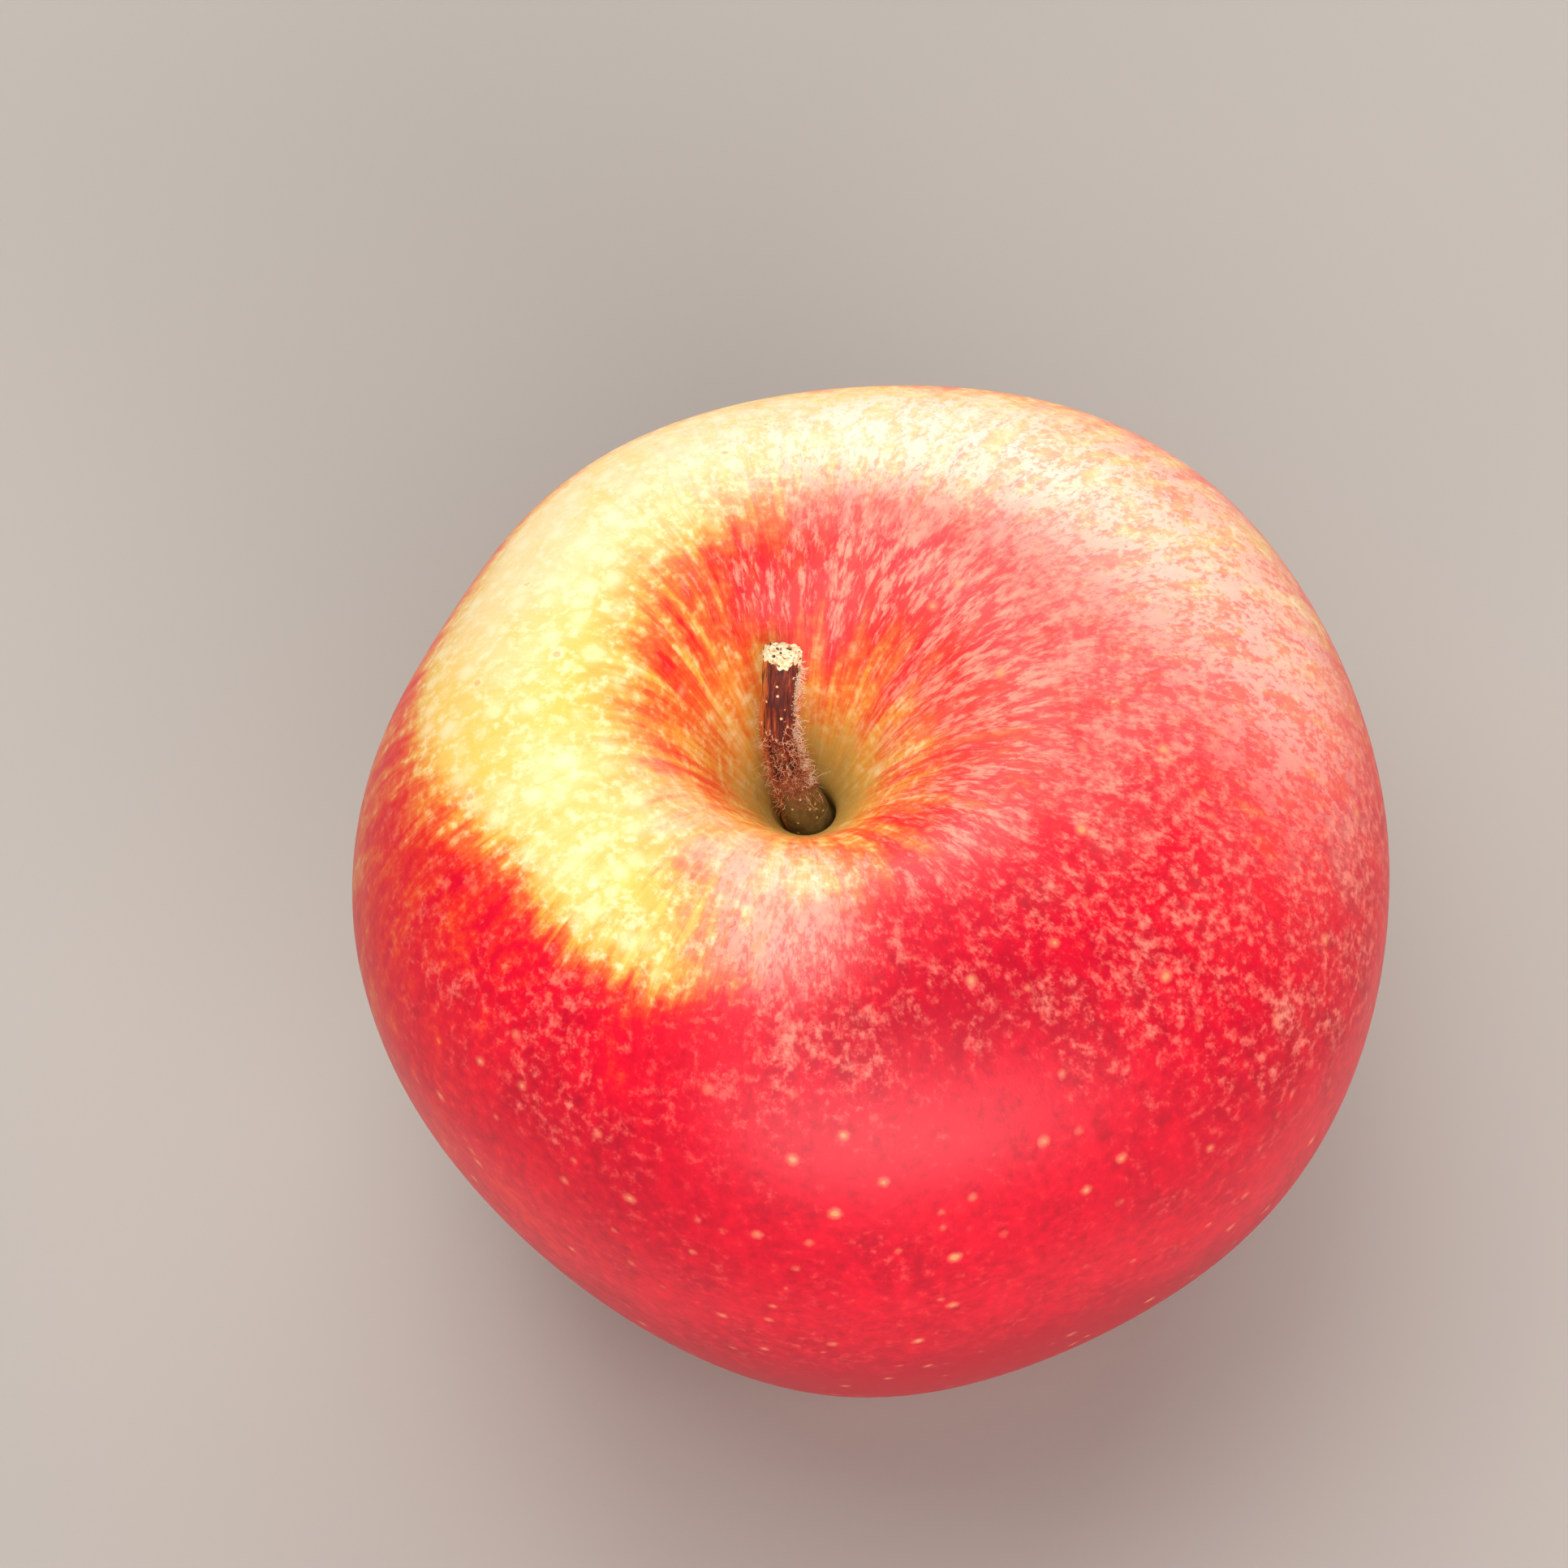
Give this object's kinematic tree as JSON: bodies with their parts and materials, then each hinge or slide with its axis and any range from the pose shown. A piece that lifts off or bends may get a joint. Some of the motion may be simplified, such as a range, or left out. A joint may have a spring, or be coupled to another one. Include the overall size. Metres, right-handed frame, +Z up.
{
  "type": "apple",
  "caption": "Ripe apple with a short woody stem in its hollow and a dried flower end underneath, standing on its lobes.",
  "frame": {"origin": "on the surface the fruit stands on, under the middle of its bounding box", "axes": "+Z up through the stem hollow, +X to the right and +Y to the back with the fuller side of the fruit on the right"},
  "size_m": [0.0792, 0.078, 0.0645],
  "materials": {
    "skin": "waxy fruit skin, yellow under a red blush with pale flecks and dots, soft gloss",
    "stem_bark": "thin matt bark with fine hairs, pale open wood at the broken end",
    "dried_sepal": "dry matt leaf with woolly grey edges",
    "dried_thread": "dry matt brown thread"
  },
  "bodies": {
    "root": {"fruit": "skin", "stem": "stem_bark", "sepal_1": "dried_sepal", "sepal_2": "dried_sepal", "sepal_3": "dried_sepal", "sepal_4": "dried_sepal", "sepal_5": "dried_sepal", "stamen_01": "dried_thread", "stamen_02": "dried_thread", "stamen_03": "dried_thread", "stamen_04": "dried_thread", "stamen_05": "dried_thread", "stamen_06": "dried_thread", "stamen_07": "dried_thread", "stamen_08": "dried_thread", "stamen_09": "dried_thread", "stamen_10": "dried_thread", "styles": "dried_thread"}
  },
  "joints": []
}
